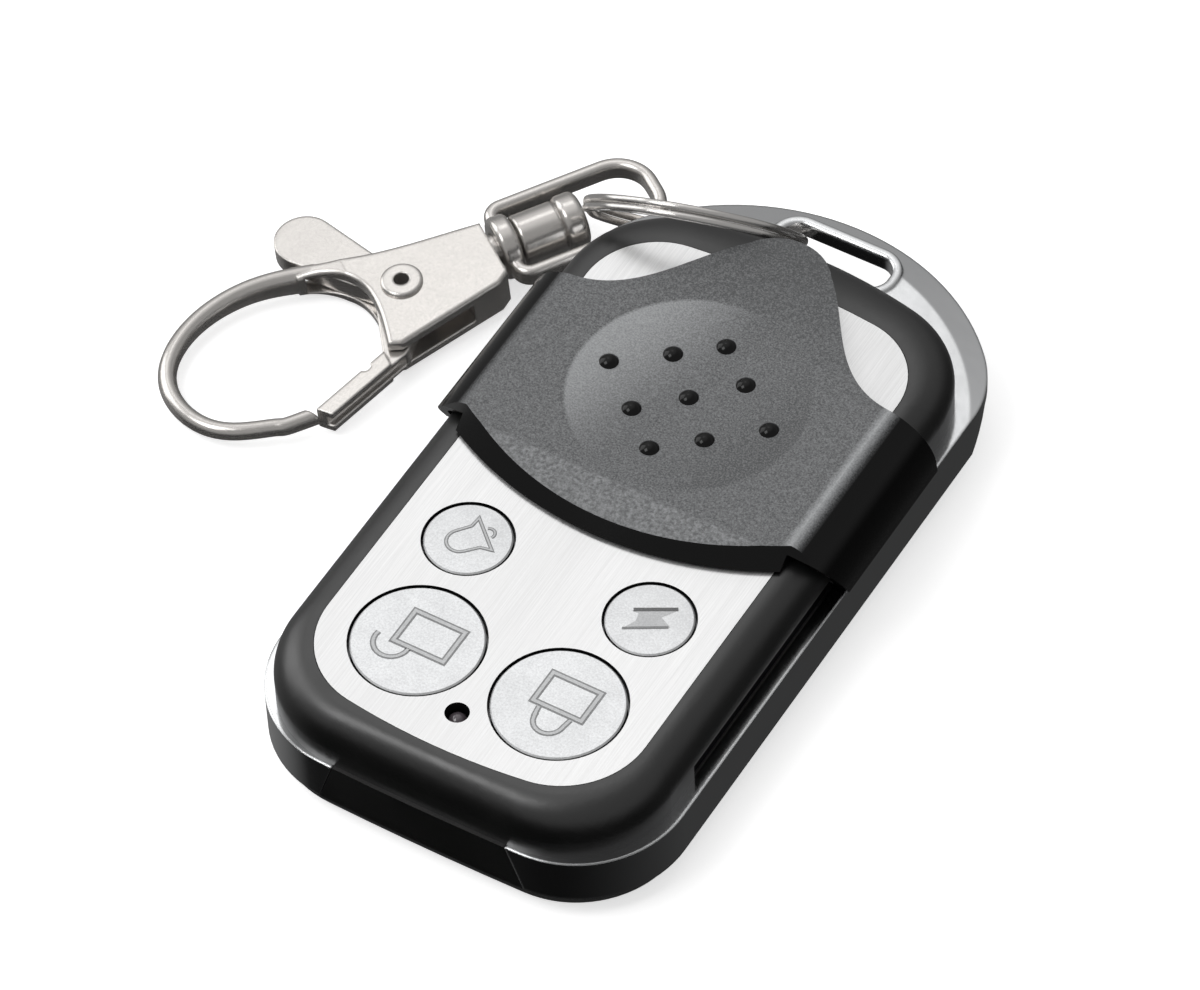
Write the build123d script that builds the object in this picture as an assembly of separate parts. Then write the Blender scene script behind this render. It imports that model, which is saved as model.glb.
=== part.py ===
from build123d import *
import math
import os

os.makedirs("parts", exist_ok=True)

# Keychain remote, in millimetres. The origin is the centre of the case's back
# face, on the surface it rests on. +Z points up out of the faceplate, and +Y
# points from the buttons to the key-ring end.

# Case from the side
FACE_Z = 10.8            # faceplate's top
SHOULDER_Z = 7.9         # where the front shell's rounded shoulder starts
FRAME_TOP = 6.15
FRAME_LOW = 1.95
FLOOR = 1.0              # rear cover's floor
CEILING_Z = 9.3          # underside of the front shell's top wall
PLATE_T = 0.6

# The cell lies across the case and sets its width
CELL_R = 4.0
CELL_L = 28.2
CELL_Y = 11.6
CELL_Z = 5.1
CELL_ROOM = 1.0          # for a contact at each end of the cell

# Case from above
FRAME_WALL = 1.3
SHELL_SKIN = 1.1         # front shell's wall inside the frame
CAVITY_HALF = CELL_L / 2 + CELL_ROOM
FRAME_HALF = CAVITY_HALF + SHELL_SKIN + FRAME_WALL
FRAME_END = 33.0         # half of the 66 mm length
FRAME_END_R = 20.0       # bow of the key-ring end
FRAME_CORNER_R = 10.0
FRAME_FOOT_R = 9.0       # corners at the button end
SHELL_STEP = 1.0         # from the frame's outline in to the shell's
SHELL_HALF = FRAME_HALF - SHELL_STEP
SHELL_LOW = -32.7
SHELL_HIGH = 26.4
PLATE_HALF = SHELL_HALF - 2.75
PLATE_LOW = -30.3
PLATE_HIGH = 21.4
PLATE_BOW = 56.0
FOOT_BOW = 300.0         # the button end is bowed only slightly
SEAT = 0.05              # gap around a piece that sits in another
BIG = 200.0

# Claws of the frame at the button end
CLAW_GAP_TOP = 7.5       # half gap at the frame's top edge
CLAW_GAP_LOW = 8.9

# Key-ring slot
SLOT_Y = 29.1
SLOT_L = 9.7
SLOT_W = 3.3
SLOT_R = 1.5
SLOT_RIM = 0.85
RIM_RISE = 0.25
BAR_LOW = 4.7            # underside of the thin end bar
DOME_Y = 11.4            # the end's sloped top is a cone about this point
DOME_R = 19.2
DOME_SLOPE = 0.28

# Buttons
LARGE_R = 5.1
LARGE_X = 6.12
LARGE_Y = -22.5
SMALL_R = 3.4
SMALL_X = 7.92
SMALL_Y = -12.34
BUTTON_GAP = 0.2
FLANGE = 0.6             # how far the hidden flange stands out
LED_Y = -26.85
LED_HOLE_R = 0.95

# Side channel and sliding cover
CHANNEL_X = SHELL_HALF - 0.8
CHANNEL_TOP = 7.7
CHANNEL_END = -20.6
CHANNEL_STOP = 14.2
COVER_TOP = FACE_Z + 1.55
COVER_HALF = FRAME_HALF + 0.3
CREASE_X = COVER_HALF - 3.6
COVER_FOOT = FRAME_TOP + 0.25
COVER_CLEAR = 0.28
COVER_FRONT = -7.9
COVER_FRONT_R = 29.5
FLANK_FRONT = 0.2
FLANK_BACK = 13.8
CREST_Y = -3.26
CREST_DROP = 0.62        # how far the front facet slopes down
COVER_TIP = 24.35
DISH_Y = 6.93
DISH_R = 9.9
DISH_DEPTH = 0.45
BUMP_R = 0.78
BUMP_RISE = 0.42
BUMP_PITCH = 3.22
BUMP_STEP = 3.12

# Inside
BOARD_Z = 4.9
BOARD_T = 1.0
BOARD_HALF = CAVITY_HALF - 0.6
BOARD_LOW = -30.0
BOARD_HIGH = 6.6
SWITCH_H = 1.9
LIP_TOP = 3.2            # top of the rear cover's lip
CONTACT_X = CAVITY_HALF - 0.4
CONTACT_T = 0.3
SCREW_LOW_X = CAVITY_HALF - 2.8
SCREW_HIGH_X = CAVITY_HALF - 3.6
SCREWS = [(-SCREW_LOW_X, -27.0), (SCREW_LOW_X, -27.0)]
SCREWS += [(-SCREW_HIGH_X, 20.0), (SCREW_HIGH_X, 20.0)]
SCREW_R = 0.7

# Clasp and key ring. The clasp's own frame has its origin at the centre of the
# swivel eye's base, +X towards the eye's tip and +Y to the thumb-tab side.
CLASP_AT = (-24.72, 19.93, 2.7)
CLASP_YAW = 54.3
CLASP_TILT = 3.0
COLLAR_R = 2.6
COLLAR_T = 1.6
EYE_ARM_Y = 3.7
EYE_TIP = 12.9
EYE_BEND = 3.1
EYE_BASE_BEND = 1.1
STRAP = (1.1, 1.8, 0.5)  # strap thickness, width and corner radius
POST_R = 1.35
POST_GAP = 0.06
BARREL_R = 2.15
BEAD_R = 2.35
CHEEK_H = 1.8            # half of the clasp body's thickness
SLIT_H = 0.95            # half of the slit that the trigger works in
SLIT_START = -15.6
TAPER = (-12.6, -16.4, 1.02)  # where the cheeks start to thin, to x and half thickness
SLIT_END = -4.8
PIVOT = (-9.1, -1.0)
RIVET_R = 0.95
RIVET_BORE = 0.62
RIVET_FLANGE = 1.7
TRIGGER_H = 0.8
GATE_H = 1.05
HUB_R = 2.3
TAB = (-14.1, 7.4, 2.45)
GATE_ROOT = (-11.9, -6.2, 1.05)
GATE_TIP = (-19.7, -9.9, 0.66)
GATE_NOTCH = (-14.85, -6.9, 0.55)
GATE_GROOVE = 0.5        # half of the channel along the gate's outer side
GATE_REACH = 13.5        # the gate's end, measured from the pivot
GATE_WIDE_X = -12.9      # beyond this the gate is thicker than the slit
GROOVE_X = -9.0          # where the gate's channel starts
HOOK_REACH = 13.75       # the hook's end, measured from the pivot
SPRING_WIRE = 0.15
SPRING_R = 1.35

RING_AT = (-10.467, 25.492, 7.611)
RING_AZ = 106.2          # direction of the ring's own axis
RING_EL = 35.0
RING_MEAN_R = 8.52
RING_WIRE = (0.86, 0.6)
RING_PITCH = 0.66        # between the two turns
RING_JOG = 14            # half of the angle that the crossing takes
RING_TURN = 90           # where the crossing is

BOARD_TOP = BOARD_Z + BOARD_T
BUTTONS = {
    "unlock": (-LARGE_X, LARGE_Y, LARGE_R),
    "lock": (LARGE_X, LARGE_Y, LARGE_R),
    "alarm": (-SMALL_X, SMALL_Y, SMALL_R),
    "flash": (SMALL_X, SMALL_Y, SMALL_R),
}


def outline(half, low, low_r, high, end_r, high_r, foot_r=FOOT_BOW):
    """Case outline from above: straight sides, round corners and bowed ends."""
    shape = Pos(0, (low + high) / 2) * Rectangle(2 * half, high - low)
    end_y = high - end_r
    shape &= Pos(0, end_y) * Circle(end_r) + Pos(0, end_y - BIG / 2) * Rectangle(BIG, BIG)
    foot_y = low + foot_r
    foot = Pos(0, foot_y) * Circle(foot_r)
    shape &= foot + Pos(0, foot_y + BIG / 2) * Rectangle(3 * BIG, BIG)
    shape = fillet(shape.vertices().sort_by(Axis.Y)[:2], low_r)
    return fillet(shape.vertices().sort_by(Axis.Y)[-2:], high_r)


def slab(shape, z_low, z_high):
    """A flat shape as a solid between two heights."""
    return extrude(Pos(0, 0, z_low) * shape, amount=z_high - z_low)


def box(x0, x1, y0, y1, z0, z1):
    centre = Pos((x0 + x1) / 2, (y0 + y1) / 2, (z0 + z1) / 2)
    return centre * Box(x1 - x0, y1 - y0, z1 - z0)


def post(x, y, z0, z1, r):
    return Pos(x, y, (z0 + z1) / 2) * Cylinder(r, z1 - z0)


def inner_outline(gap=0.0):
    """What fits inside the frame's band."""
    half = FRAME_HALF - FRAME_WALL - gap
    low = -FRAME_END + FRAME_WALL + gap
    return outline(half, low, FRAME_FOOT_R - FRAME_WALL - gap, 26.1 - gap, 40.0, 8.7 - gap)


def cavity_outline(gap=0.0):
    return outline(CAVITY_HALF - gap, -30.6 + gap, 6.6, 25.0 - gap, 40.0, 7.8)


def plate_outline(gap=0.0):
    high = PLATE_HIGH + gap
    return outline(PLATE_HALF + gap, PLATE_LOW - gap, 7.0, high, 75.0, 6.2, PLATE_BOW)


def claw_gap(gap=0.0):
    """The tapered opening between the frame's two claws."""
    top = CLAW_GAP_TOP - gap
    low = CLAW_GAP_LOW - gap
    points = [(-top, FRAME_TOP), (top, FRAME_TOP), (low, FRAME_LOW), (-low, FRAME_LOW)]
    face = Plane.XZ * make_face(Polyline(*points, close=True))
    return extrude(face, amount=BIG / 2)


def frame_outline():
    return outline(FRAME_HALF, -FRAME_END, FRAME_FOOT_R, FRAME_END, FRAME_END_R, FRAME_CORNER_R)


def end_dome():
    """Cone that slopes the frame's broad end down towards its outer edge."""
    drop = FRAME_TOP - FRAME_LOW
    cone = Cone(DOME_R + drop / DOME_SLOPE, DOME_R, drop)
    cone = Pos(0, DOME_Y, (FRAME_TOP + FRAME_LOW) / 2) * cone
    return cone + box(-BIG, BIG, -BIG, DOME_Y, FRAME_LOW, FRAME_TOP)


def under_relief():
    """The broad end is hollowed from below, so the bar there is thin."""
    points = [(19.8, FRAME_LOW), (22.6, BAR_LOW), (BIG, BAR_LOW), (BIG, -1), (19.8, -1)]
    return extrude(Plane.YZ * make_face(Polyline(*points, close=True)), amount=BIG, both=True)


def slot(grow, z0, z1):
    shape = RectangleRounded(SLOT_L + 2 * grow, SLOT_W + 2 * grow, SLOT_R + grow)
    return slab(Pos(0, SLOT_Y) * shape, z0, z1)


def metal_frame():
    frame = slab(frame_outline(), FRAME_LOW, FRAME_TOP)
    frame &= end_dome()
    rim = slot(SLOT_RIM, FRAME_TOP - 1.2, FRAME_TOP + RIM_RISE)
    frame += fillet(rim.edges().group_by(Axis.Z)[-1], 0.24)
    frame -= slab(inner_outline(), FRAME_LOW - 1, FRAME_TOP + 1)
    frame -= claw_gap()
    frame -= under_relief()
    frame -= slot(0, 0, BIG)
    edge = frame.edges().filter_by(lambda e: slot_edge(e))
    return fillet(edge, 0.3)


def slot_edge(edge):
    """The upper and lower rims of the slot's hole."""
    where = edge.center()
    near = abs(where.X) <= SLOT_L / 2 and abs(where.Y - SLOT_Y) <= SLOT_W / 2 + 0.01
    flat = edge.bounding_box().size.Z < 0.001
    return near and flat


def shoulder():
    """Rounded top of the front shell, from the full outline to the plate's rim."""
    rise = FACE_Z - SHOULDER_Z
    sections = Sketch()
    for turn in (0, 32, 62, 90):
        up = math.sin(math.radians(turn))
        t = 1 - math.cos(math.radians(turn))
        shape = outline(
            SHELL_HALF - 2.4 * t,
            SHELL_LOW + 2.05 * t,
            8.6 - 1.3 * t,
            SHELL_HIGH - 4.6 * t,
            40.0 + 35.0 * t,
            9.0 - 2.5 * t,
            FOOT_BOW + (PLATE_BOW - FOOT_BOW) * t,
        )
        sections += Pos(0, 0, SHOULDER_Z + rise * up) * shape
    return loft(sections)


def front_shell():
    low = slab(inner_outline(SEAT), FRAME_LOW, FRAME_TOP)
    gap_fill = slab(frame_outline(), FRAME_LOW, FRAME_TOP) & claw_gap(SEAT)
    gap_fill &= box(-BIG, BIG, -BIG, 0, FRAME_LOW, FRAME_TOP)
    full = outline(SHELL_HALF, SHELL_LOW, 8.6, SHELL_HIGH, 40.0, 9.0)
    shell = low + gap_fill + slab(full, FRAME_TOP, SHOULDER_Z) + shoulder()
    shell -= slab(cavity_outline(), FRAME_LOW - 1, CEILING_Z)
    shell -= slab(plate_outline(SEAT), FACE_Z - PLATE_T, FACE_Z + 1)
    for side in (-1, 1):
        x0, x1 = sorted((side * CHANNEL_X, side * BIG))
        shell -= box(x0, x1, CHANNEL_END, CHANNEL_STOP, FRAME_TOP, CHANNEL_TOP)
    for x, y, r in BUTTONS.values():
        shell -= post(x, y, CEILING_Z - 1, FACE_Z, r + BUTTON_GAP)
    shell -= post(0, LED_Y, CEILING_Z - 1, FACE_Z, LED_HOLE_R)
    for x, y in SCREWS:
        shell += post(x, y, 2.4, CEILING_Z + 0.2, 1.8)
        shell -= post(x, y, 2.0, 7.4, SCREW_R + SEAT)
    rest_x = CAVITY_HALF - 1.5
    for x, y in ((-rest_x, -6.0), (rest_x, -6.0), (0, 5.0), (0, -16.5)):
        shell += post(x, y, BOARD_TOP, CEILING_Z + 0.2, 0.8)
    return shell


def faceplate():
    plate = slab(plate_outline(), FACE_Z - PLATE_T, FACE_Z)
    for x, y, r in BUTTONS.values():
        plate -= post(x, y, 0, BIG, r + BUTTON_GAP)
    return plate - post(0, LED_Y, 0, BIG, LED_HOLE_R)


def rear_cover():
    flange = outline(FRAME_HALF - 0.6, 0.4 - FRAME_END, 8.6, 26.5, 40.0, 9.2)
    cover = slab(flange, 0, FRAME_LOW)
    cover = fillet(cover.edges().group_by(Axis.Z)[0], 1.3)
    cover -= slab(cavity_outline(), FLOOR, FRAME_LOW + 1)
    lip = slab(cavity_outline(SEAT), FLOOR, LIP_TOP) - slab(cavity_outline(0.75), 0, 4)
    well = slab(cavity_outline(SEAT), 0, LIP_TOP)
    for x, y in SCREWS:
        lip -= post(x, y, FRAME_LOW, 4, 1.8 + SEAT)
        cover += post(x, y, FLOOR - 0.2, 2.4 - SEAT, 2.2) & well
    cover += lip
    for side in (-1, 1):
        for y in (-18.0, 4.0):
            cover += post(side * (CAVITY_HALF - 2.1), y, FLOOR - 0.2, BOARD_Z, 1.0)
    for x in (-8.0, 8.0):
        cover += box(x - 0.6, x + 0.6, CELL_Y - 4.4, CELL_Y + 4.4, FLOOR - 0.2, 4.0)
    cover -= Pos(0, CELL_Y, CELL_Z) * Rot(0, 90, 0) * Cylinder(CELL_R + SEAT, 24)
    for x, y in SCREWS:
        cover -= post(x, y, -1, 1.2, 1.65)
        cover -= post(x, y, -1, 3, SCREW_R + 0.1)
    return cover


def case_screw(x, y):
    screw = post(x, y, 0.4, 1.2, 1.4) + post(x, y, 1.2, 7.2, SCREW_R)
    for turn in (0, 90):
        screw -= Pos(x, y, 0.55) * Rot(0, 0, turn) * Box(1.6, 0.35, 0.5)
    return screw


def button(x, y, r):
    """Cap through the plate, hidden flange below the shell, and a stem."""
    cap = post(x, y, CEILING_Z - 0.4, FACE_Z, r)
    cap = chamfer(cap.edges().group_by(Axis.Z)[-1], 0.12)
    flange = post(x, y, CEILING_Z - 0.7, CEILING_Z - 0.1, r + FLANGE)
    return cap + flange + post(x, y, CEILING_Z - 1.0, CEILING_Z - 0.6, 1.2)


def switch_body(x, y):
    body = box(x - 2.2, x + 2.2, y - 1.6, y + 1.6, BOARD_TOP, BOARD_TOP + SWITCH_H)
    body -= post(x, y, BOARD_TOP + 0.5, BIG, 0.95)
    for side in (-1, 1):
        foot = box(x - 2.7, x - 2.2, y - 0.5, y + 0.5, BOARD_TOP, BOARD_TOP + 0.25)
        body += foot if side < 0 else Pos(2 * 2.45, 0, 0) * foot
    return body


def switch_plunger(x, y):
    return post(x, y, BOARD_TOP + 1.0, CEILING_Z - 1.0, 0.85)


def circuit_board():
    board = outline(BOARD_HALF, BOARD_LOW, 6.0, BOARD_HIGH, FOOT_BOW, 0.8)
    board = slab(board, BOARD_Z, BOARD_TOP)
    for x, y in SCREWS[:2]:
        board -= post(x, y, 0, BIG, 2.1)
    return board


def encoder_chip():
    chip = box(-2.0, 2.0, -4.4, 0.6, BOARD_TOP + 0.1, BOARD_TOP + 1.6)
    for row in range(4):
        y = -3.8 + 1.27 * row
        for side in (-1, 1):
            x0, x1 = sorted((side * 1.9, side * 3.0))
            chip += box(x0, x1, y - 0.2, y + 0.2, BOARD_TOP, BOARD_TOP + 0.8)
    return chip


def saw_resonator():
    can = box(6.4, 10.2, -3.2, 0.6, BOARD_TOP, BOARD_TOP + 1.3)
    return fillet(can.edges().filter_by(Axis.Z), 0.5)


def rf_transistor():
    body = box(-9.6, -6.7, -1.0, 0.3, BOARD_TOP + 0.1, BOARD_TOP + 1.1)
    for x, y0, y1 in ((-9.1, -1.5, -0.9), (-7.2, -1.5, -0.9), (-8.15, 0.2, 0.8)):
        body += box(x - 0.2, x + 0.2, y0, y1, BOARD_TOP, BOARD_TOP + 0.5)
    return body


def smd_passives():
    spots = [(-5.0, -6.6), (-2.4, -6.6), (2.4, -6.6), (5.0, -6.6), (-11.2, -4.0), (11.8, 2.6)]
    chips = [box(x - 1.0, x + 1.0, y - 0.6, y + 0.6, BOARD_TOP, BOARD_TOP + 0.6) for x, y in spots]
    return Compound(children=chips)


def board_antenna():
    """Flat wire loop that stands along the board's key-ring end."""
    z = BOARD_TOP + 0.8
    points = [(-11.0, 2.6, BOARD_TOP), (-11.0, 2.6, z), (-9.6, 4.9, z), (-3.0, 4.9, z)]
    points += [(-3.0, 2.8, z), (3.0, 2.8, z), (3.0, 2.8, BOARD_TOP)]
    path = FilletPolyline(*points, radius=0.45)
    return sweep(Plane(points[0], z_dir=(0, 0, 1)) * Circle(0.3), path=path)


def indicator_led():
    lens = post(0, LED_Y, BOARD_TOP + 0.9, 9.6, 0.8) + Pos(0, LED_Y, 9.6) * Sphere(0.8)
    return lens + post(0, LED_Y, BOARD_TOP, BOARD_TOP + 1.0, 1.4)


def battery():
    can = Cylinder(CELL_R, CELL_L - 1.2)
    can = fillet(can.edges(), 0.5)
    nub = Pos(0, 0, CELL_L / 2) * Cylinder(1.6, 1.2)
    return Pos(0, CELL_Y, CELL_Z) * Rot(0, 90, 0) * (can + nub)


def contact_plate(side):
    """Standing plate with a tail that lies on the board."""
    x0, x1 = sorted((side * CONTACT_X, side * (CONTACT_X + CONTACT_T)))
    plate = box(x0, x1, CELL_Y - 3.4, CELL_Y + 3.4, LIP_TOP + SEAT, CEILING_Z - 0.7)
    riser = box(x0, x1, BOARD_HIGH - 1.2, CELL_Y - 3.3, BOARD_TOP, CEILING_Z - 1.3)
    x0, x1 = sorted((side * (CONTACT_X - 2.3), side * (CONTACT_X + CONTACT_T)))
    tail = box(x0, x1, BOARD_HIGH - 1.6, BOARD_HIGH - 0.2, BOARD_TOP, BOARD_TOP + 0.3)
    return plate + riser + tail


def battery_contact_positive():
    return contact_plate(1)


def battery_contact_negative():
    """Plate with a short cone spring that presses on the cell."""
    turns, wire = 2.0, 0.22
    coil = Helix(pitch=0.43, height=0.43 * turns, radius=1.6, cone_angle=-28)
    section = Plane(coil @ 0, z_dir=coil % 0) * Circle(wire)
    spring = sweep(section, path=coil, is_frenet=True)
    spring = Pos(0.08 - CONTACT_X, CELL_Y, CELL_Z) * Rot(0, 90, 0) * spring
    return contact_plate(-1) + spring


def cover_profile():
    """Cross-section of the sliding cover, right half mirrored to the left."""
    z_side = FACE_Z - 3.4
    lip_top = CHANNEL_TOP - COVER_CLEAR
    wall = SHELL_HALF + COVER_CLEAR
    ceiling = FACE_Z + COVER_CLEAR
    lip_x = CHANNEL_X + 0.2
    top = Line((0, COVER_TOP), (CREASE_X, COVER_TOP))
    flank = ThreePointArc(top @ 1, (COVER_HALF - 1.05, FACE_Z - 0.2), (COVER_HALF, z_side))
    foot = Polyline(
        flank @ 1,
        (COVER_HALF, COVER_FOOT),
        (lip_x, COVER_FOOT),
        (lip_x, lip_top),
        (wall, lip_top),
        (wall, SHOULDER_Z),
    )
    bend = (SHELL_HALF - 0.48, FACE_Z - 0.62)
    inside = ThreePointArc(foot @ 1, bend, (SHELL_HALF - 2.6, ceiling))
    roof = Polyline(inside @ 1, (0, ceiling), (0, COVER_TOP))
    half = make_face([top, flank, foot, inside, roof])
    return half + mirror(half, about=Plane.YZ)


def cover_plan():
    """The cover from above: bowed front, bell-shaped back."""
    tip = ThreePointArc((-3.64, 22.4), (0, COVER_TIP), (3.64, 22.4))
    right = Spline(tip @ 1, (6.7, 18.45), (9.8, 14.75), (CREASE_X, 12.9))
    left = Spline(tip @ 0, (-6.7, 18.45), (-9.8, 14.75), (-CREASE_X, 12.9))
    ends = Polyline(right @ 1, (BIG, 12.9), (BIG, -BIG), (-BIG, -BIG), (-BIG, 12.9), left @ 1)
    back = make_face([tip, right, ends, left])
    front = Pos(0, COVER_FRONT + COVER_FRONT_R) * Circle(COVER_FRONT_R)
    front += Pos(0, COVER_FRONT + COVER_FRONT_R + BIG / 2) * Rectangle(BIG, BIG)
    return back & front


def flank_ends():
    """What the raked front and back of a flank remove, beyond the crease."""
    front = [(COVER_FRONT, 20), (-3.0, COVER_TOP), (FLANK_FRONT, COVER_FOOT), (FLANK_FRONT, 0)]
    front += [(-BIG, 0), (-BIG, 20)]
    back = [(12.9, 20), (12.9, COVER_TOP), (FLANK_BACK, COVER_FOOT), (FLANK_BACK, 0)]
    back += [(BIG, 0), (BIG, 20)]
    cuts = Part()
    for points in (front, back):
        side = extrude(Plane.YZ * make_face(Polyline(*points, close=True)), amount=BIG, both=True)
        cuts += side
    return cuts - box(-CREASE_X, CREASE_X, -BIG, BIG, 0, 20)


def cover_back_block():
    """Lets the flanks run past the plan's straight back corners."""
    return box(-BIG, BIG, 12.9, FLANK_BACK, 0, 20) - box(-CREASE_X, CREASE_X, 0, 20, 0, 20)


def cover_front_cut():
    """Sloped front wall under the crest, as a cone that follows the bow."""
    rise = COVER_TOP - FACE_Z
    run = 1.8
    ring_y = COVER_FRONT + COVER_FRONT_R
    keep = Cone(COVER_FRONT_R + 0.35, COVER_FRONT_R - run, rise + 0.3)
    keep = Pos(0, ring_y, COVER_TOP - (rise + 0.3) / 2) * keep
    keep += Pos(0, ring_y, FACE_Z / 2 - 0.2) * Cylinder(COVER_FRONT_R + 5, FACE_Z - 0.4 + 0.2)
    keep += box(-BIG, BIG, ring_y, BIG, 0, 20)
    return keep


def crest_cut():
    """Shallow sloped facet between the crest line and the bowed front."""
    points = [(CREST_Y, COVER_TOP), (COVER_FRONT - 1, COVER_TOP - CREST_DROP)]
    points += [(COVER_FRONT - 1, 20), (CREST_Y, 20)]
    return extrude(Plane.YZ * make_face(Polyline(*points, close=True)), amount=CREASE_X - 1.2, both=True)


def bump_spots():
    spots = [(0, 0), (0, 5.7), (0, -5.9)]
    for side in (-1, 1):
        spots += [(side * BUMP_PITCH, BUMP_STEP), (side * BUMP_PITCH, -BUMP_STEP)]
        spots += [(side * 7.07, 0)]
    return [(x, DISH_Y + y) for x, y in spots]


def dish_z(x, y):
    """Height of the dished surface at a point of the cover's top."""
    ball = (DISH_R**2 + DISH_DEPTH**2) / (2 * DISH_DEPTH)
    away = x**2 + (y - DISH_Y) ** 2
    return COVER_TOP + ball - DISH_DEPTH - math.sqrt(ball**2 - away)


def slide_cover():
    body = extrude(Plane.XZ * cover_profile(), amount=60, both=True)
    body &= slab(cover_plan(), 0, 20) + cover_back_block()
    body -= flank_ends()
    body &= cover_front_cut()
    body -= crest_cut()
    ball = (DISH_R**2 + DISH_DEPTH**2) / (2 * DISH_DEPTH)
    body -= Pos(0, DISH_Y, COVER_TOP + ball - DISH_DEPTH) * Sphere(ball)
    dome = (BUMP_R**2 + BUMP_RISE**2) / (2 * BUMP_RISE)
    for x, y in bump_spots():
        z = dish_z(x, y)
        cap = Pos(x, y, z + BUMP_RISE - dome) * Sphere(dome)
        body += cap & post(x, y, z - 0.3, z + 1, BUMP_R)
    return body


def in_clasp(shape):
    """Moves a shape from the clasp's own frame to the remote's."""
    return Pos(*CLASP_AT) * Rot(0, 0, CLASP_YAW) * Rot(0, -CLASP_TILT, 0) * shape


def rod(x0, x1, r):
    """Round bar on the clasp's swivel axis."""
    return Pos((x0 + x1) / 2, 0, 0) * Rot(0, 90, 0) * Cylinder(r, x1 - x0)


def swivel_eye():
    """Strap bent to a loop, with a round collar where the post passes."""
    collar = fillet(rod(-COLLAR_T / 2, COLLAR_T / 2, COLLAR_R).edges(), 0.45)
    near = EYE_BASE_BEND + 0.5
    section = RectangleRounded(STRAP[0], STRAP[1], STRAP[2])
    start = Plane(origin=(near, EYE_ARM_Y, 0), x_dir=(0, 1, 0), z_dir=(1, 0, 0)) * section
    eye = collar
    for x, bend in ((EYE_TIP, EYE_BEND), (0, EYE_BASE_BEND)):
        points = [(near, EYE_ARM_Y), (x, EYE_ARM_Y), (x, -EYE_ARM_Y), (near, -EYE_ARM_Y)]
        eye += sweep(start, path=FilletPolyline(*points, radius=bend))
    return in_clasp(eye - rod(-2, 2, POST_R + POST_GAP))


def swivel_post():
    """Shank through the eye's collar with a headed barrel inside the eye."""
    head = COLLAR_T / 2 + 0.2
    barrel = rod(head, 4.5, BARREL_R)
    barrel = fillet(barrel.edges().sort_by(Axis.X)[0], 0.3)
    bead = fillet(rod(4.6, 6.6, BEAD_R).edges(), 0.6)
    neck = rod(4.0, 5.3, BARREL_R - 0.25)
    return in_clasp(rod(-3.2, head + 0.2, POST_R) + barrel + neck + bead)


def cheek_outline():
    """Flat side of the clasp body: neck, hook root and the horn over the gate."""
    top = Spline((-1.3, 1.9), (-6.2, 2.4), (-10.9, 3.15), (-16.2, 5.3))
    inner = Spline((-16.2, 3.55), (-13.5, 2.5), (-12.1, 0.6), (-11.8, -2.6), (-12.5, -6.3))
    foot = Polyline(inner @ 1, (-11.5, -6.75), (-2.2, -4.6), (-1.3, -3.9), top @ 0)
    return make_face([top, Line(top @ 1, inner @ 0), inner, foot])


def cheeks():
    """The cheeks as one block that thins towards the hook, with soft edges."""
    x0, x1, thin = TAPER
    points = [(0, CHEEK_H), (x0, CHEEK_H), (x1, thin), (x1, -thin), (x0, -CHEEK_H), (0, -CHEEK_H)]
    side = extrude(Plane.XZ * make_face(Polyline(*points, close=True)), amount=20, both=True)
    body = extrude(cheek_outline(), amount=CHEEK_H, both=True) & side
    rims = body.edges().filter_by(lambda e: abs(e.center().Z) > thin and e.bounding_box().size.X > 0.01)
    return fillet(rims, 0.35)


def hook():
    """Tapered hook, an oval section that follows one smooth curve."""
    points = [(-14.6, 4.0), (-19.7, 5.05), (-23.6, 4.45), (-26.9, 2.6), (-28.85, 0.0)]
    points += [(-29.2, -2.9), (-28.3, -5.55), (-26.2, -7.5), (-23.2, -8.6), (-17.6, -9.05)]
    path = Spline(*points, tangents=((-1, 0.3), (1, -0.02)))
    sections = []
    for where, high, wide in ((0, 1.35, 0.9), (0.16, 1.12, 0.84), (1, 0.78, 0.68)):
        plane = Plane(origin=path @ where, x_dir=(0, 0, 1), z_dir=path % where)
        sections.append(plane * Ellipse(high, wide))
    return sweep(sections, path=path, multisection=True)


def clasp_body():
    body = cheeks() + hook_end(hook())
    body -= box(SLIT_START, SLIT_END, -20, 20, -SLIT_H, SLIT_H)
    body -= rod(-3.3, 0, POST_R + SEAT)
    body -= post(*PIVOT, -5, 5, RIVET_R + SEAT)
    return in_clasp(body)


def hook_end(shape):
    """Ends the hook on a circle about the pivot, so the gate swings past it."""
    x, y = GATE_TIP[:2]
    near = box(x - 2, x + 5, y - 3, y + 4, -5, 5)
    return shape - (post(*PIVOT, -5, 5, HOOK_REACH) & near)


def clasp_rivet():
    """Hollow rivet with a rolled flange over each cheek."""
    shank = post(*PIVOT, -CHEEK_H - 0.1, CHEEK_H + 0.1, RIVET_R)
    top = post(*PIVOT, CHEEK_H, CHEEK_H + 0.36, RIVET_FLANGE)
    low = post(*PIVOT, -CHEEK_H - 0.16, -CHEEK_H, RIVET_FLANGE - 0.2)
    rivet = shank + fillet(top.edges().group_by(Axis.Z)[-1], 0.28) + low
    rivet -= post(*PIVOT, -5, 5, RIVET_BORE)
    return in_clasp(rivet)


def link(first, second):
    """Flat bar with round ends between two circles (x, y, r)."""
    ends = [Pos(x, y) * Circle(r) for x, y, r in (first, second)]
    return make_hull(ends[0].edges() + ends[1].edges())


def beyond(x):
    """The clasp's space on the hook's side of a place along it."""
    return box(x - 30, x, -20, 20, -5, 5)


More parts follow.
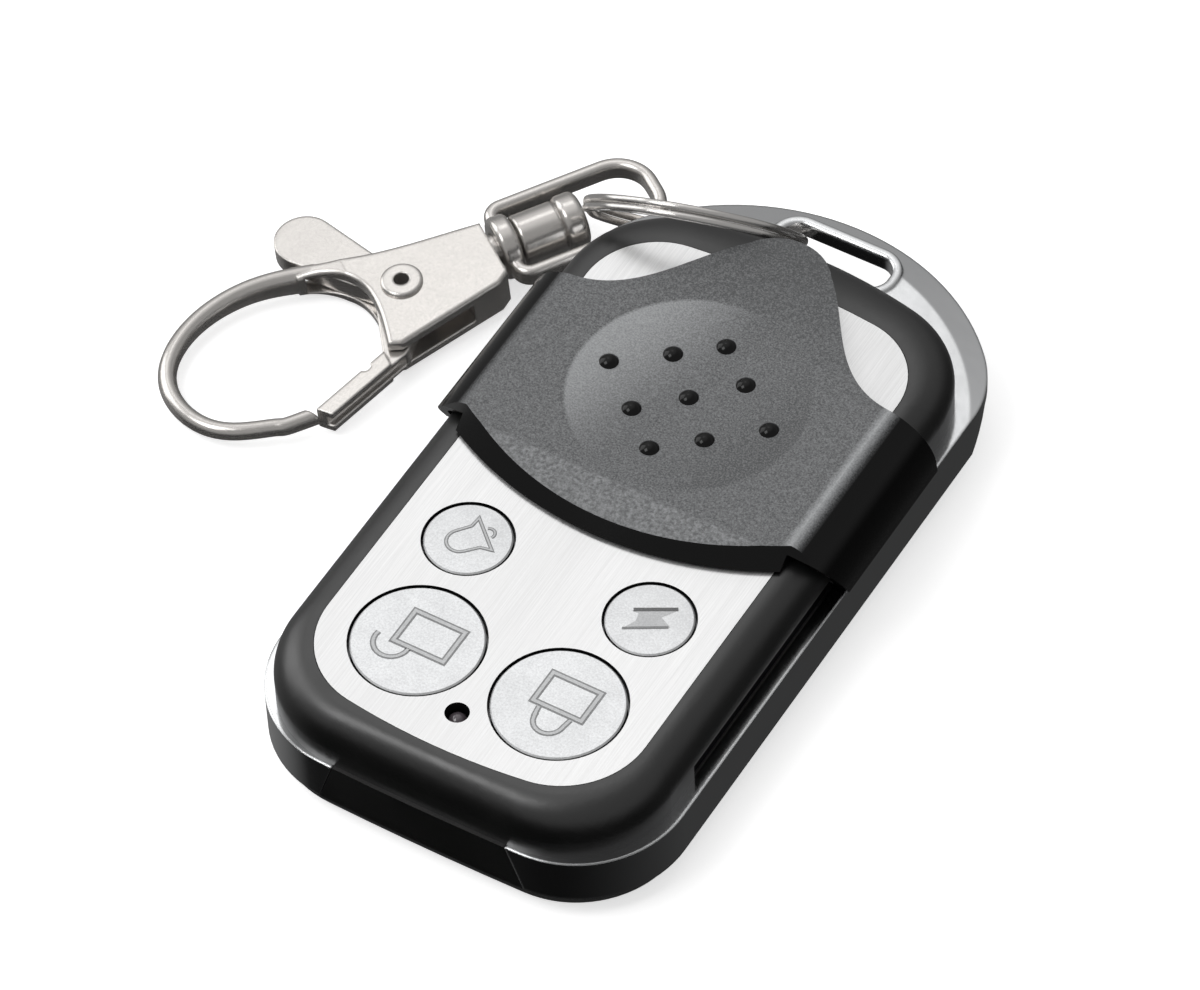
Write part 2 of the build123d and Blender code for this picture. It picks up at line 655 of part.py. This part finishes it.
def clasp_trigger():
    """Thumb tab, hub and channel-shaped gate in one plate."""
    x0, y0, r0 = GATE_ROOT
    x1, y1, r1 = GATE_TIP
    hub = (*PIVOT, HUB_R)
    arm = link((x0, y0 - r0 + r1, r1), GATE_TIP) & Pos(*PIVOT) * Circle(GATE_REACH)
    arm -= Pos(*GATE_NOTCH[:2]) * Circle(GATE_NOTCH[2])
    plate = Pos(*PIVOT) * Circle(HUB_R) + link((PIVOT[0] - 0.6, PIVOT[1] + 1, 1.3), TAB)
    plate += link(hub, GATE_ROOT) + arm
    trigger = extrude(plate, amount=TRIGGER_H, both=True)
    trigger += extrude(arm, amount=GATE_H, both=True) & beyond(GATE_WIDE_X)
    wide = GATE_GROOVE + 0.2
    groove = link((x0, y0 - r0 - 0.3, wide), (x1, y1 - r1 - 0.2, wide))
    trigger -= extrude(groove, amount=GATE_GROOVE, both=True) & beyond(GROOVE_X)
    trigger -= post(*PIVOT, 0.05, 3, HUB_R + 0.2)
    return in_clasp(trigger - post(*PIVOT, -5, 5, RIVET_R + SEAT))


def clasp_spring():
    """Coil round the rivet; one leg reaches towards the neck."""
    coil = Helix(pitch=0.34, height=0.5, radius=SPRING_R)
    start = Plane(coil @ 0, z_dir=coil % 0) * Circle(SPRING_WIRE)
    spring = sweep(start, path=coil, is_frenet=True)
    leg = Pos(1.85, 0, 0.5) * Rot(0, 90, 0) * Cylinder(SPRING_WIRE, 1.1)
    leg = Rot(0, 0, 360 * 0.5 / 0.34) * leg
    return in_clasp(Pos(PIVOT[0], PIVOT[1], 0.24) * (spring + leg))


def split_ring():
    """Flattened wire wound in two close turns, joined by one crossing."""
    half = RING_PITCH / 2
    low = CenterArc((0, 0, -half), RING_MEAN_R, RING_JOG, 360 - 2 * RING_JOG)
    high = Pos(0, 0, 2 * half) * low
    jog = Spline(low @ 1, high @ 0, tangents=(low % 1, high % 0))
    wire = RectangleRounded(RING_WIRE[0], RING_WIRE[1], 0.26)
    section = Plane(low @ 0, x_dir=(low @ 0) + Vector(0, 0, half), z_dir=low % 0) * wire
    ring = Rot(0, 0, RING_TURN) * sweep(section, path=Wire([low, jog, high]))
    return Pos(*RING_AT) * Rot(0, 0, RING_AZ) * Rot(0, 90 - RING_EL, 0) * ring


def save(name, shape):
    export_step(shape, f"parts/{name}.step")


save("metal_frame", metal_frame())
save("front_shell", front_shell())
save("faceplate", faceplate())
save("rear_cover", rear_cover())
save("case_screws", Compound(children=[case_screw(x, y) for x, y in SCREWS]))
for name, (x, y, r) in BUTTONS.items():
    save(f"button_{name}", button(x, y, r))
    save(f"switch_plunger_{name}", switch_plunger(x, y))
save("tact_switches", Compound(children=[switch_body(x, y) for x, y, r in BUTTONS.values()]))
save("circuit_board", circuit_board())
save("encoder_chip", encoder_chip())
save("saw_resonator", saw_resonator())
save("rf_transistor", rf_transistor())
save("smd_passives", smd_passives())
save("board_antenna", board_antenna())
save("indicator_led", indicator_led())
save("battery", battery())
save("battery_contact_positive", battery_contact_positive())
save("battery_contact_negative", battery_contact_negative())
save("slide_cover", slide_cover())
save("split_ring", split_ring())
save("swivel_eye", swivel_eye())
save("swivel_post", swivel_post())
save("clasp_body", clasp_body())
save("clasp_rivet", clasp_rivet())
save("clasp_trigger", clasp_trigger())
save("clasp_spring", clasp_spring())
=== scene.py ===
import math
import bpy
from mathutils import Matrix, Vector


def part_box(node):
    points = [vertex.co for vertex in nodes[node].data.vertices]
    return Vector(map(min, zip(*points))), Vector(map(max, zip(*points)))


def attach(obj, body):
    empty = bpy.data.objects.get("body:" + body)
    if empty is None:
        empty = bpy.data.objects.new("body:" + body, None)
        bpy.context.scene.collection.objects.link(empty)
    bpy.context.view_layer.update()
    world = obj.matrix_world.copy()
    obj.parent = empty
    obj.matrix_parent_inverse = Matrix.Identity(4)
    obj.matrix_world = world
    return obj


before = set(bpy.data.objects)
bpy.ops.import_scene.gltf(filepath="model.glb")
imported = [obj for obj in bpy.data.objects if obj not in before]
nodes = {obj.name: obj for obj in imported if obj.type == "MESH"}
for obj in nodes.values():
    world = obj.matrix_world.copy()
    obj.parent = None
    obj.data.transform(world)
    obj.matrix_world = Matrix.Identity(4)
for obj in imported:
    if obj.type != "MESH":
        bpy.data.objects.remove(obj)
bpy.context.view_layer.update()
MM = 0.001

# Places on the remote in millimetres, as the CAD has them
FACE_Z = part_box("faceplate")[1][2] / MM
COVER_TOP = 12.35
FLANK_WIDTH = 3.6
CREASE_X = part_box("slide_cover")[1][0] / MM - FLANK_WIDTH
CREST_Y = -3.26
DISH_Y = 6.93
DISH_R = 9.9
DISH_DEPTH = 0.45
SMALL_BUTTONS_Y = (-16, -10)

# Where one look fades into the next, in millimetres: inside the dish's rim, up the side of
# a dome, off the crease and towards the cover's tip
DISH_RIM = (0.3, 0.6)
DOME_RISE = (0.04, 0.09)
CREASE_BAND = (0.1, 0.7)
TIP_FADE = (12, 22)

# How much lighter or darker the cover's paint is made there: painted light and shade across the
# dish, a painted highlight on the crease and on the facet in front of the crest, and darker towards
# the tip
DISH_LIT = 0.55
DISH_SHADED = 0.12
CREASE_LIT = 0.6
CREST_LIT = 0.12
TIP_SHADED = 0.15

# Roundness that the shading gives to plated edges, and how the marks sit on the buttons
EDGE_MM = 0.3
MARK_SUNK = 0.01
MARK_T = 0.02
BELL_TURN_DEG = -42

# Camera, fitted to the photograph: a long lens above the button end, to the right. Places
# and the near limit of its sight are in metres
SENSOR_MM = 36.0
LENS_MM = 229.2
CLIP_NEAR = 0.01
CAMERA_AT = Vector((0.19983, -0.31105, 0.45451))
CAMERA_RIGHT = Vector((0.858006, 0.512484, -0.034424))
CAMERA_UP = Vector((-0.376425, 0.672982, 0.63671))
CAMERA_BACK = Vector((0.349471, -0.533343, 0.770334))

# Floor, half its width in metres and its gap in millimetres, and room: strengths of the
# light from each side
FLOOR_HALF = 3.0
FLOOR_GAP = 0.05
FLOOR_GLOW = 0.6
ROOM_LIGHT = 0.4
WINDOW = 0.5
WINDOW_WAY = Vector((-0.39, 0.3, 0.87))
ROOM_LEFT = 0.25
ROOM_DARK = (0.006, 0.05)

# Lamps: place in metres, width and height in metres, power in watts
LAMPS_AIM = Vector((0, 0, 0.01))
LAMPS = {
    "key": ((-0.32, 0.4, 0.72), (0.22, 0.22), 0.15),
    "front": ((-0.28, -0.32, 0.69), (0.35, 0.35), 1.5),
    "side": ((-0.7, 0.0, 0.35), (0.5, 0.6), 1.5),
}


class Nodes:
    """Short calls for building the node tree of a material or the world."""

    def __init__(self, name, world=None):
        self.material = world or bpy.data.materials.new(name)
        self.material.use_nodes = True
        self.tree = self.material.node_tree
        self.shader = self.tree.nodes["Background" if world else "Principled BSDF"]
        where = self.add("ShaderNodeTexCoord")
        self.way = where.outputs["Generated"]
        self.place = where.outputs["Object"]
        self.facing = where.outputs["Normal"]

    def add(self, kind, inputs=None, **options):
        node = self.tree.nodes.new(kind)
        for key, value in options.items():
            setattr(node, key, value)
        for key, value in (inputs or {}).items():
            self.put(node.inputs[key], value)
        return node

    def put(self, socket, value):
        if isinstance(value, bpy.types.NodeSocket):
            self.tree.links.new(value, socket)
        else:
            socket.default_value = value

    def set(self, **values):
        for key, value in values.items():
            self.put(self.shader.inputs[key.replace("_", " ")], value)

    def stretch(self, x, y, z):
        """The object's own coordinates, in millimetres, scaled along each axis."""
        scale = (x / MM, y / MM, z / MM)
        return self.add("ShaderNodeMapping", {"Vector": self.place, "Scale": scale}).outputs[0]

    def noise(self, where, scale=1.0, detail=2.0, rough=0.5):
        inputs = {"Vector": where, "Scale": scale, "Detail": detail, "Roughness": rough}
        return self.add("ShaderNodeTexNoise", inputs).outputs["Fac"]

    def ramp(self, value, low, high, start=0.0, end=1.0):
        """Maps start..end of a value to low..high."""
        inputs = {"Value": value, "From Min": start, "From Max": end, "To Min": low, "To Max": high}
        return self.add("ShaderNodeMapRange", inputs).outputs[0]

    def smooth(self, value, start, end):
        """Rises gently from 0 to 1 between start and end."""
        inputs = {"Value": value, "From Min": start, "From Max": end}
        return self.add("ShaderNodeMapRange", inputs, interpolation_type="SMOOTHSTEP").outputs[0]

    def top_vs_painted_wall_shade(self):
        """1 on surfaces that face up, 0 on the walls of holes and sides, which get a near-black
        colour as painted shade.
        """
        return self.smooth(self.spread(self.facing)[2], 0.3, 0.8)

    def spread(self, vector):
        """The x, y and z of a vector."""
        return self.add("ShaderNodeSeparateXYZ", {"Vector": vector}).outputs

    def mix(self, factor, first, second):
        """Mixes two values by a factor."""
        mix = self.add("ShaderNodeMix", data_type="FLOAT")
        for index, value in ((0, factor), (2, first), (3, second)):
            self.put(mix.inputs[index], value)
        return mix.outputs[0]

    def blend(self, factor, first, second):
        """Mixes two colours by a factor."""
        mix = self.add("ShaderNodeMix", data_type="RGBA")
        self.put(mix.inputs[0], factor)
        self.put(mix.inputs[6], first)
        self.put(mix.inputs[7], second)
        return mix.outputs[2]

    def math(self, operation, first, second=0.0):
        node = self.add("ShaderNodeMath", operation=operation)
        self.put(node.inputs[0], first)
        self.put(node.inputs[1], second)
        return node.outputs[0]

    def bump(self, height, strength=0.3, distance=0.02, onto=None):
        inputs = {"Height": height, "Strength": strength, "Distance": distance * MM}
        if onto:
            inputs["Normal"] = onto
        self.put(self.shader.inputs["Normal"], self.add("ShaderNodeBump", inputs).outputs[0])


def grey(value, tint=0.0):
    return (value * (1 + tint), value, value * (1 - tint), 1)


def brushed_aluminium():
    """Fine lines along the remote, with painted shade on the walls of the holes."""
    m = Nodes("brushed_face")
    fine = m.noise(m.stretch(9.0, 0.16, 1.0), detail=3.0, rough=0.7)
    broad = m.noise(m.stretch(1.3, 0.05, 1.0), detail=2.0)
    lines = m.math("ADD", m.math("MULTIPLY", fine, 0.7), m.math("MULTIPLY", broad, 0.3))
    top = m.blend(m.ramp(lines, 0, 1, 0.35, 0.65), grey(0.74), grey(0.93))
    # Painted shade: the walls of the holes are coloured near-black
    m.set(Base_Color=m.blend(m.top_vs_painted_wall_shade(), grey(0.03), top))
    m.set(Metallic=0.8, Roughness=m.ramp(lines, 0.3, 0.42, 0.3, 0.7), Anisotropic=0.4)
    m.bump(fine, 0.12, 0.01)
    return m.material


def gloss_black(name="body_black", base=0.002, rough=(0.34, 0.42), grain=0.1, shine=1.0):
    """Black moulding with a faint pebble grain."""
    m = Nodes(name)
    cloud = m.noise(m.stretch(0.25, 0.25, 0.25), detail=2.0)
    pebble = m.noise(m.stretch(7.0, 7.0, 7.0), detail=3.0)
    m.set(Base_Color=m.blend(cloud, grey(base * 0.8), grey(base * 1.3)))
    m.set(Roughness=m.ramp(cloud, rough[0], rough[1], 0.3, 0.7), Specular_IOR_Level=shine)
    m.bump(pebble, grain, 0.01)
    return m.material


def dish_masks(m, x, y, z):
    """Inside the dish, on its domes, and the painted light and shade across it: the paint is made
    lighter on one side of the dish and darker on the other.
    """
    side_y = m.math("SUBTRACT", y, DISH_Y)
    away = m.math("ADD", m.math("MULTIPLY", x, x), m.math("MULTIPLY", side_y, side_y))
    bowl = m.math("MULTIPLY", away, DISH_DEPTH / DISH_R**2)
    above = m.math("SUBTRACT", m.math("SUBTRACT", z, COVER_TOP - DISH_DEPTH), bowl)
    inside = m.ramp(away, 1, 0, (DISH_R - DISH_RIM[1]) ** 2, (DISH_R - DISH_RIM[0]) ** 2)
    dome = m.math("MULTIPLY", m.ramp(above, 0, 1, *DOME_RISE), inside)
    # Painted light and shade: lighter on the side of the dish tilted one way, darker on the other
    tilt = m.math("SUBTRACT", m.math("MULTIPLY", side_y, 0.3), x)
    lit = m.math("MULTIPLY", m.smooth(tilt, 0, DISH_R), DISH_LIT)
    shaded = m.math("MULTIPLY", m.smooth(tilt, -2, -DISH_R), DISH_SHADED)
    return dome, m.math("MULTIPLY", m.math("SUBTRACT", lit, shaded), inside)


def cover_grey():
    """Speckled grey paint on top, gloss black on the flanks, the front wall and the domes, with
    painted light and shade on the painted top.
    """
    m = Nodes("cover_grey")
    x, y, z = m.spread(m.stretch(1, 1, 1))
    speck = m.noise(m.stretch(7.0, 7.0, 7.0), detail=4.0, rough=0.75)
    coarse = m.noise(m.stretch(3.2, 3.2, 3.2), detail=3.0, rough=0.8)
    # The facet in front of the crest has a coarser grain
    crescent = m.ramp(y, 1, 0, CREST_Y - 0.1, CREST_Y + 0.1)
    tone = m.mix(crescent, speck, coarse)
    dome, dish_painted_light = dish_masks(m, x, y, z)
    # Painted highlight along the right-hand crease: the paint there is lightened where light catches
    # the rounded edge
    upward = m.spread(m.facing)[2]
    off_crease = m.math("ABSOLUTE", m.math("SUBTRACT", x, CREASE_X))
    band = m.ramp(off_crease, 1, 0, *CREASE_BAND)
    crease = m.math("MULTIPLY", band, m.ramp(upward, 0, 1, 0.8, 0.88))
    flat = m.math("MAXIMUM", m.ramp(upward, 0, 1, 0.88, 0.95), crease)
    paint = m.math("MULTIPLY", flat, m.math("SUBTRACT", 1.0, dome))
    crease_highlight = m.math("MULTIPLY", crease, CREASE_LIT)
    light = m.math("ADD", m.ramp(tone, 0, 0.5, 0.38, 0.66), m.math("ADD", dish_painted_light, crease_highlight))
    # Painted light on the sloped facet in front of the crest: the paint there is made lighter
    light = m.math("ADD", light, m.math("MULTIPLY", crescent, CREST_LIT))
    # Towards its tip the cover gets a little darker
    light = m.math("SUBTRACT", light, m.ramp(y, 0, TIP_SHADED, *TIP_FADE))
    top = m.blend(light, grey(0.07, -0.03), grey(0.45, -0.02))
    m.set(Base_Color=m.blend(paint, grey(0.002), top))
    m.set(Roughness=m.mix(paint, 0.14, m.ramp(speck, 0.4, 0.52, 0.3, 0.7)))
    m.set(Specular_IOR_Level=m.mix(paint, 0.25, 0.5))
    m.bump(m.math("MULTIPLY", tone, paint), 0.45, 0.03)
    return m.material


def button_grey(name="button_grey", low=0.74, high=0.97, metallic=0.6):
    """Satin grey with a fine sparkle, a little duller on the two small buttons, with painted shade
    on the sides.
    """
    m = Nodes(name)
    speck = m.noise(m.stretch(6.0, 6.0, 6.0), detail=4.0, rough=0.75)
    cloud = m.noise(m.stretch(0.6, 0.6, 0.6), detail=2.0)
    far = m.ramp(m.spread(m.stretch(1, 1, 1))[1], 0.0, 0.35, *SMALL_BUTTONS_Y)
    light = m.math("SUBTRACT", m.ramp(speck, 0, 1, 0.35, 0.65), far)
    top = m.blend(light, grey(low, -0.01), grey(high, -0.01))
    # Painted shade: the sides of the button are coloured near-black
    m.set(Base_Color=m.blend(m.top_vs_painted_wall_shade(), grey(0.03), top))
    m.set(Metallic=metallic, Roughness=m.ramp(cloud, 0.36, 0.46, 0.3, 0.7))
    m.bump(speck, 0.25, 0.015)
    return m.material


def plated(name, light, tint, rough=(0.08, 0.16), wave=0.05, metallic=1.0):
    """Bright plating with faint ripples and slightly duller patches."""
    m = Nodes(name)
    ripple = m.noise(m.stretch(0.35, 0.35, 0.35), detail=2.0)
    fine = m.noise(m.stretch(5.0, 5.0, 5.0), detail=3.0)
    m.set(Base_Color=m.blend(ripple, grey(light * 0.94, tint), grey(light, tint)))
    m.set(Metallic=metallic, Roughness=m.ramp(fine, rough[0], rough[1], 0.3, 0.7))
    edge = m.add("ShaderNodeBevel", {"Radius": EDGE_MM * MM}, samples=6)
    m.bump(ripple, wave, 0.3, edge.outputs[0])
    return m.material


def simple(name, colour, metallic=0.0, rough=0.5, grain=0.15):
    """Inside pieces: a mottled colour with a fine grain."""
    m = Nodes(name)
    cloud = m.noise(m.stretch(0.8, 0.8, 0.8), detail=3.0)
    dark = (*[c * 0.8 for c in colour], 1)
    light = (*[min(1, c * 1.15) for c in colour], 1)
    m.set(Base_Color=m.blend(cloud, dark, light), Metallic=metallic)
    m.set(Roughness=m.ramp(cloud, rough * 0.85, rough * 1.15, 0.3, 0.7))
    m.bump(cloud, grain, 0.02)
    return m.material


def lens():
    """Dark clear resin of the indicator."""
    m = Nodes("led_lens")
    cloud = m.noise(m.stretch(2.0, 2.0, 2.0))
    m.set(Base_Color=m.blend(cloud, (0.06, 0.05, 0.06, 1), (0.12, 0.1, 0.11, 1)))
    m.set(Roughness=0.12, Coat_Weight=0.6)
    return m.material


def dress(material, *names):
    """Gives CAD nodes a material."""
    for name in names:
        mesh = nodes[name].data
        mesh.materials.clear()
        mesh.materials.append(material)


def new_mesh(name, points, faces, material):
    mesh = bpy.data.meshes.new(name)
    mesh.from_pydata(points, [], faces)
    mesh.materials.append(material)
    piece = bpy.data.objects.new(name, mesh)
    bpy.context.scene.collection.objects.link(piece)
    return piece


def make_floor():
    """White floor; polished pieces mirror the dark room below instead of it."""
    m = Nodes("floor_white")
    m.set(Base_Color=m.blend(m.noise(m.place, 3.0), grey(0.88), grey(0.9)), Roughness=0.9)
    m.set(Specular_IOR_Level=0.0, Emission_Color=grey(1.0), Emission_Strength=FLOOR_GLOW)
    corners = ((-1, -1), (1, -1), (1, 1), (-1, 1))
    points = [(x * FLOOR_HALF, y * FLOOR_HALF, -FLOOR_GAP * MM) for x, y in corners]
    floor = new_mesh("floor", points, [(0, 1, 2, 3)], m.material)
    floor.visible_glossy = False


def make_camera():
    data = bpy.data.cameras.new("camera")
    data.lens = LENS_MM
    data.sensor_width = SENSOR_MM
    data.clip_start = CLIP_NEAR
    camera = bpy.data.objects.new("camera", data)
    turn = Matrix((CAMERA_RIGHT, CAMERA_UP, CAMERA_BACK)).transposed()
    camera.matrix_world = Matrix.Translation(CAMERA_AT) @ turn.to_4x4()
    bpy.context.scene.collection.objects.link(camera)
    bpy.context.scene.camera = camera


def area_light(name, where, size, watts):
    data = bpy.data.lights.new(name, "AREA")
    data.shape = "RECTANGLE"
    data.size, data.size_y = size
    data.energy = watts
    light = bpy.data.objects.new(name, data)
    light.location = where
    light.rotation_euler = (LAMPS_AIM - Vector(where)).to_track_quat("-Z", "Y").to_euler()
    bpy.context.scene.collection.objects.link(light)


def make_light():
    """Bright room above, floor pale to the left and dark to the right, one soft window."""
    world = bpy.data.worlds.new("studio")
    m = Nodes("studio", world)
    x, y, z = m.spread(m.way)
    terms = [m.math("MULTIPLY", part, share) for part, share in zip((x, y, z), WINDOW_WAY)]
    toward = m.math("ADD", m.math("ADD", terms[0], terms[1]), terms[2])
    window = m.math("MULTIPLY", m.smooth(toward, 0.66, 0.97), WINDOW)
    above = m.smooth(z, -0.05, 0.3)
    left = m.math("SUBTRACT", m.math("MULTIPLY", y, 0.5), x)
    dark = m.ramp(y, *ROOM_DARK, -0.6, 0.5)
    below = m.ramp(left, dark, ROOM_LEFT, 0.3, 0.9)
    m.set(Color=grey(1.0), Strength=m.math("ADD", m.mix(above, below, ROOM_LIGHT), window))
    bpy.context.scene.world = world
    for name, (where, size, watts) in LAMPS.items():
        area_light(name, where, size, watts)
    view = bpy.context.scene.view_settings
    view.view_transform = "Standard"
    view.look = "None"


def dress_everything():
    black = gloss_black()
    clasp = plated("clasp_metal", 0.62, 0.04, (0.18, 0.26), metallic=0.9)
    spring_steel = simple("contact_spring", (0.6, 0.6, 0.58), 1.0, 0.3)
    chip = simple("chip_black", (0.02, 0.02, 0.022), rough=0.45)
    tin = simple("tin_metal", (0.6, 0.6, 0.6), 1.0, 0.35)
    dress(brushed_aluminium(), "faceplate")
    dress(black, "front_shell")
    dress(gloss_black("back_black", 0.018, (0.45, 0.6), 0.4, 0.5), "rear_cover")
    dress(cover_grey(), "slide_cover")
    dress(button_grey(), *[f"button_{b}" for b in BUTTONS])
    dress(plated("polished_frame", 0.66, -0.01, (0.1, 0.18)), "metal_frame")
    dress(plated("ring_steel", 0.68, 0.03, (0.1, 0.18), metallic=0.92), "split_ring")
    dress(clasp, "swivel_eye", "swivel_post", "clasp_body", "clasp_rivet", "clasp_trigger")
    dress(spring_steel, "clasp_spring", "board_antenna")
    dress(spring_steel, "battery_contact_positive", "battery_contact_negative")
    dress(simple("screw_steel", (0.2, 0.2, 0.21), 1.0, 0.35), "case_screws")
    dress(simple("board_green", (0.03, 0.16, 0.07), rough=0.4), "circuit_board")
    dress(chip, "tact_switches", "encoder_chip", "rf_transistor")
    dress(simple("plunger_black", (0.03, 0.03, 0.03)), *[f"switch_plunger_{b}" for b in BUTTONS])
    dress(tin, "saw_resonator", "smd_passives")
    dress(lens(), "indicator_led")
    dress(simple("cell_can", (0.42, 0.34, 0.08), 0.3, 0.35), "battery")


def strip(points, width, closed=False):
    """A line of even width, as corner points and faces, with mitred corners."""
    count = len(points)
    sides = []
    for i, here in enumerate(points):
        here = Vector(here)
        before = Vector(points[(i - 1) % count]) if closed or i > 0 else None
        after = Vector(points[(i + 1) % count]) if closed or i < count - 1 else None
        ways = [w.normalized() for w in (before and here - before, after and after - here) if w]
        way = sum(ways, Vector((0, 0))).normalized()
        across = Vector((-way.y, way.x))
        reach = width / 2 / max(0.4, way.dot(ways[0]))
        sides += [here + across * reach, here - across * reach]
    last = count if closed else count - 1
    ring = [(2 * i, 2 * i + 1, 2 * i + 3, 2 * i + 2) for i in range(last)]
    return sides, [tuple(k % (2 * count) for k in face) for face in ring]


def arc(x, y, r, start, end, steps=14):
    turns = [math.radians(start + (end - start) * i / steps) for i in range(steps + 1)]
    return [(x + r * math.cos(t), y + r * math.sin(t)) for t in turns]


def pictogram(name, part, shapes, material, lift=0.0):
    """Thin marks on a button's top, which ride on the button."""
    points, faces = [], []
    x, y = BUTTONS[name]
    z = (FACE_Z - MARK_SUNK + lift) * MM
    for corners, polygons in shapes:
        base = len(points)
        points += [((x + p[0]) * MM, (y + p[1]) * MM, z) for p in corners]
        faces += [tuple(base + k for k in polygon) for polygon in polygons]
    piece = new_mesh(f"mark_{name}_{part}", points, faces, material)
    shell = piece.modifiers.new("thickness", "SOLIDIFY")
    shell.thickness = MARK_T * MM
    shell.offset = 1.0
    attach(piece, name)


def engraved(name, lines, edge, floor):
    """Lines with darker edges and a paler middle, like shallow grooves."""
    pictogram(name, "edge", [strip(path, width, closed) for path, width, closed in lines], edge)
    inner = [strip(path, width * 0.5, closed) for path, width, closed in lines]
    pictogram(name, "floor", inner, floor, MARK_T)


def padlock_body(x0, x1, y0, y1):
    return ([(x0, y0), (x1, y0), (x1, y1), (x0, y1)], 0.56, True)


def make_pictograms():
    edge = button_grey("mark_edge", 0.22, 0.34, 0.1)
    floor = button_grey("mark_floor", 0.52, 0.68, 0.3)
    dark = button_grey("mark_dark", 0.12, 0.2, 0.1)
    shackle = arc(-1.6, -1.05, 1.42, 0, -195)
    engraved("unlock", [padlock_body(-1.6, 2.75, -0.85, 2.35), (shackle, 0.46, False)], edge, floor)
    shackle = [(-1.15, -0.9), (-1.05, -1.7), *arc(0.2, -1.7, 1.2, 180, 360), (1.55, -0.9)]
    engraved("lock", [padlock_body(-1.85, 2.3, -0.6, 2.35), (shackle, 0.46, False)], edge, floor)
    make_bell(edge, floor)
    make_bolt(edge, floor, dark)


def make_bell(edge, floor):
    """Outlined bell, its mouth to the upper right, drawn in its own frame."""
    turn = math.radians(BELL_TURN_DEG)
    along, across = math.cos(turn), math.sin(turn)
    dome = [(-1.65, 1.35), (-1.1, 0.6), *arc(0, -0.65, 1.05, 180, 360, 12), (1.1, 0.6), (1.65, 1.35)]
    clapper = arc(0, 1.6, 0.48, 10, 170, 8)

    def place(path):
        return [(x * along - y * across, x * across + y * along) for x, y in path]

    engraved("alarm", [(place(dome), 0.3, True), (place(clapper), 0.28, False)], edge, floor)


def make_bolt(edge, floor, dark):
    """Filled lightning bolt lying on its side, with a dark upper and a grey lower line."""
    left = [(-1.6, 0.1), (-1.0, 0.1), (-0.85, -0.63), (-1.4, -1.8)]
    right = [(1.45, -0.2), (1.7, 0.1), (0.65, 0.59), (1.1, 1.25), (1.45, 1.85)]
    outline = left + right
    pictogram("flash", "body", [(outline, [tuple(range(len(outline)))])], floor)
    pictogram("flash", "top", [strip([(-1.53, 0.21), (1.38, 1.85)], 0.32)], dark, MARK_T)
    pictogram("flash", "foot", [strip([(-1.38, -1.72), (1.6, 0.02)], 0.22)], edge, MARK_T)


BUTTONS = {
    name: [(low + high) / 2 / MM for low, high in zip(*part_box("button_" + name))][:2]
    for name in ("unlock", "lock", "alarm", "flash")
}

dress_everything()
make_pictograms()
make_floor()
make_camera()
make_light()
